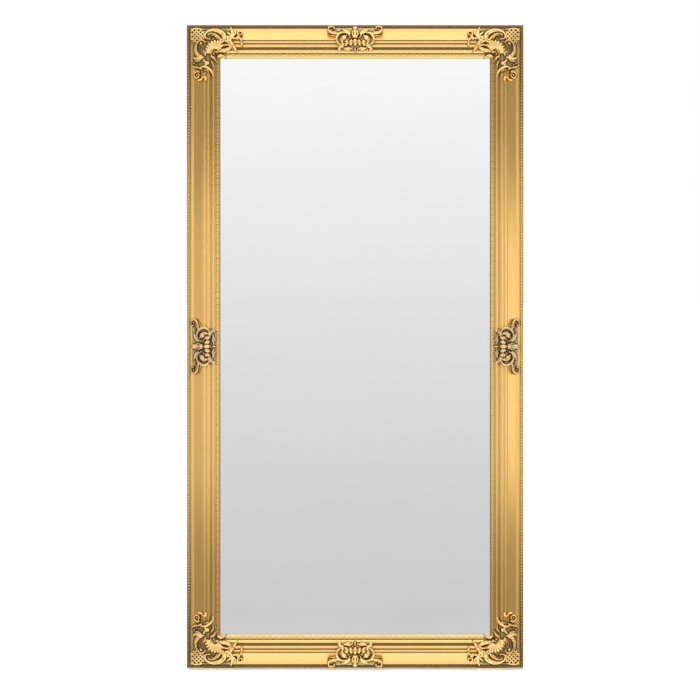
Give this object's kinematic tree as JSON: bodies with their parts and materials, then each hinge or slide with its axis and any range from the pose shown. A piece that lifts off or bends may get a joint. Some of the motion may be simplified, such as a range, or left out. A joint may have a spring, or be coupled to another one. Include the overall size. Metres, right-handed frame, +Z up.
{
  "type": "floor mirror",
  "caption": "Full-length rectangular mirror in an ornate gilt moulded frame with cast corner and centre ornaments and a folding rear strut.",
  "frame": {"origin": "centre of the footprint, on the floor under the deployed stand", "axes": "+X the viewer's right, +Y from the glass to the strut behind, +Z up"},
  "size_m": [0.89, 0.4276, 1.6877],
  "materials": {
    "gilt_moulding": "gold leaf over gesso and wood, toned in the quirks",
    "antique_gilt_casting": "cast composition ornament, antique gold with dark wax in the recesses",
    "silvered_glass": "clear silvered float glass",
    "fibreboard": "bare hardboard",
    "beech": "planed beech, clear oiled",
    "zinc_steel": "zinc plated",
    "brass_fittings": "satin brass plated",
    "rubber": "matt black rubber"
  },
  "bodies": {
    "mirror": {"bottom_rail": "gilt_moulding", "left_stile": "gilt_moulding", "top_rail": "gilt_moulding", "right_stile": "gilt_moulding", "corner_ornament_top_left": "antique_gilt_casting", "corner_ornament_top_right": "antique_gilt_casting", "corner_ornament_bottom_left": "antique_gilt_casting", "corner_ornament_bottom_right": "antique_gilt_casting", "centre_ornament_bottom": "antique_gilt_casting", "centre_ornament_left": "antique_gilt_casting", "centre_ornament_top": "antique_gilt_casting", "centre_ornament_right": "antique_gilt_casting", "mirror_glass": "silvered_glass", "backing_board": "fibreboard", "glazing_point_1": "zinc_steel", "glazing_point_2": "zinc_steel", "glazing_point_3": "zinc_steel", "glazing_point_4": "zinc_steel", "glazing_point_5": "zinc_steel", "glazing_point_6": "zinc_steel", "glazing_point_7": "zinc_steel", "glazing_point_8": "zinc_steel", "mitre_plate_top_left": "zinc_steel", "mitre_plate_top_right": "zinc_steel", "mitre_plate_bottom_left": "zinc_steel", "mitre_plate_bottom_right": "zinc_steel", "batten_screw_1": "zinc_steel", "batten_screw_2": "zinc_steel", "batten_screw_3": "zinc_steel", "batten_screw_4": "zinc_steel", "hinge_pin_left": "zinc_steel", "hinge_pin_right": "zinc_steel", "hinge_batten": "beech", "hinge_frame_leaf_left": "brass_fittings", "hinge_frame_leaf_right": "brass_fittings", "hinge_frame_screw_1": "brass_fittings", "hinge_frame_screw_2": "brass_fittings", "hinge_frame_screw_3": "brass_fittings", "hinge_frame_screw_4": "brass_fittings", "stay_bracket_left": "brass_fittings", "stay_bracket_right": "brass_fittings", "base_pad_left": "rubber", "base_pad_right": "rubber"},
    "strut": {"strut_leg_left": "beech", "strut_leg_right": "beech", "strut_head_rail": "beech", "strut_foot_rail": "beech", "strut_foot_left": "rubber", "strut_foot_right": "rubber", "stay_stud_left": "brass_fittings", "stay_stud_right": "brass_fittings", "hinge_strut_leaf_left": "brass_fittings", "hinge_strut_leaf_right": "brass_fittings", "hinge_strut_screw_1": "brass_fittings", "hinge_strut_screw_2": "brass_fittings", "hinge_strut_screw_3": "brass_fittings", "hinge_strut_screw_4": "brass_fittings"},
    "stay_left": {"stay_arm_left": "brass_fittings"},
    "stay_right": {"stay_arm_right": "brass_fittings"}
  },
  "joints": [
    {"name": "strut_fold", "type": "hinge", "parent": "mirror", "child": "strut", "pos_m": [0, 0.03457, 1.31586], "axis": [1, 0, 0], "range_deg": [-16, 0]},
    {"name": "stay_left_swing", "type": "hinge", "parent": "mirror", "child": "stay_left", "pos_m": [-0.346, 0.0042, 1.19895], "axis": [1, 0, 0], "range_deg": [-22.03, 0]},
    {"name": "stay_right_swing", "type": "hinge", "parent": "mirror", "child": "stay_right", "pos_m": [0.346, 0.0042, 1.19895], "axis": [1, 0, 0], "range_deg": [-22.03, 0]}
  ],
  "couplings": [
    {"joint": "stay_left_swing", "follows": "strut_fold", "ratio": 1.3764},
    {"joint": "stay_right_swing", "follows": "strut_fold", "ratio": 1.3764}
  ]
}
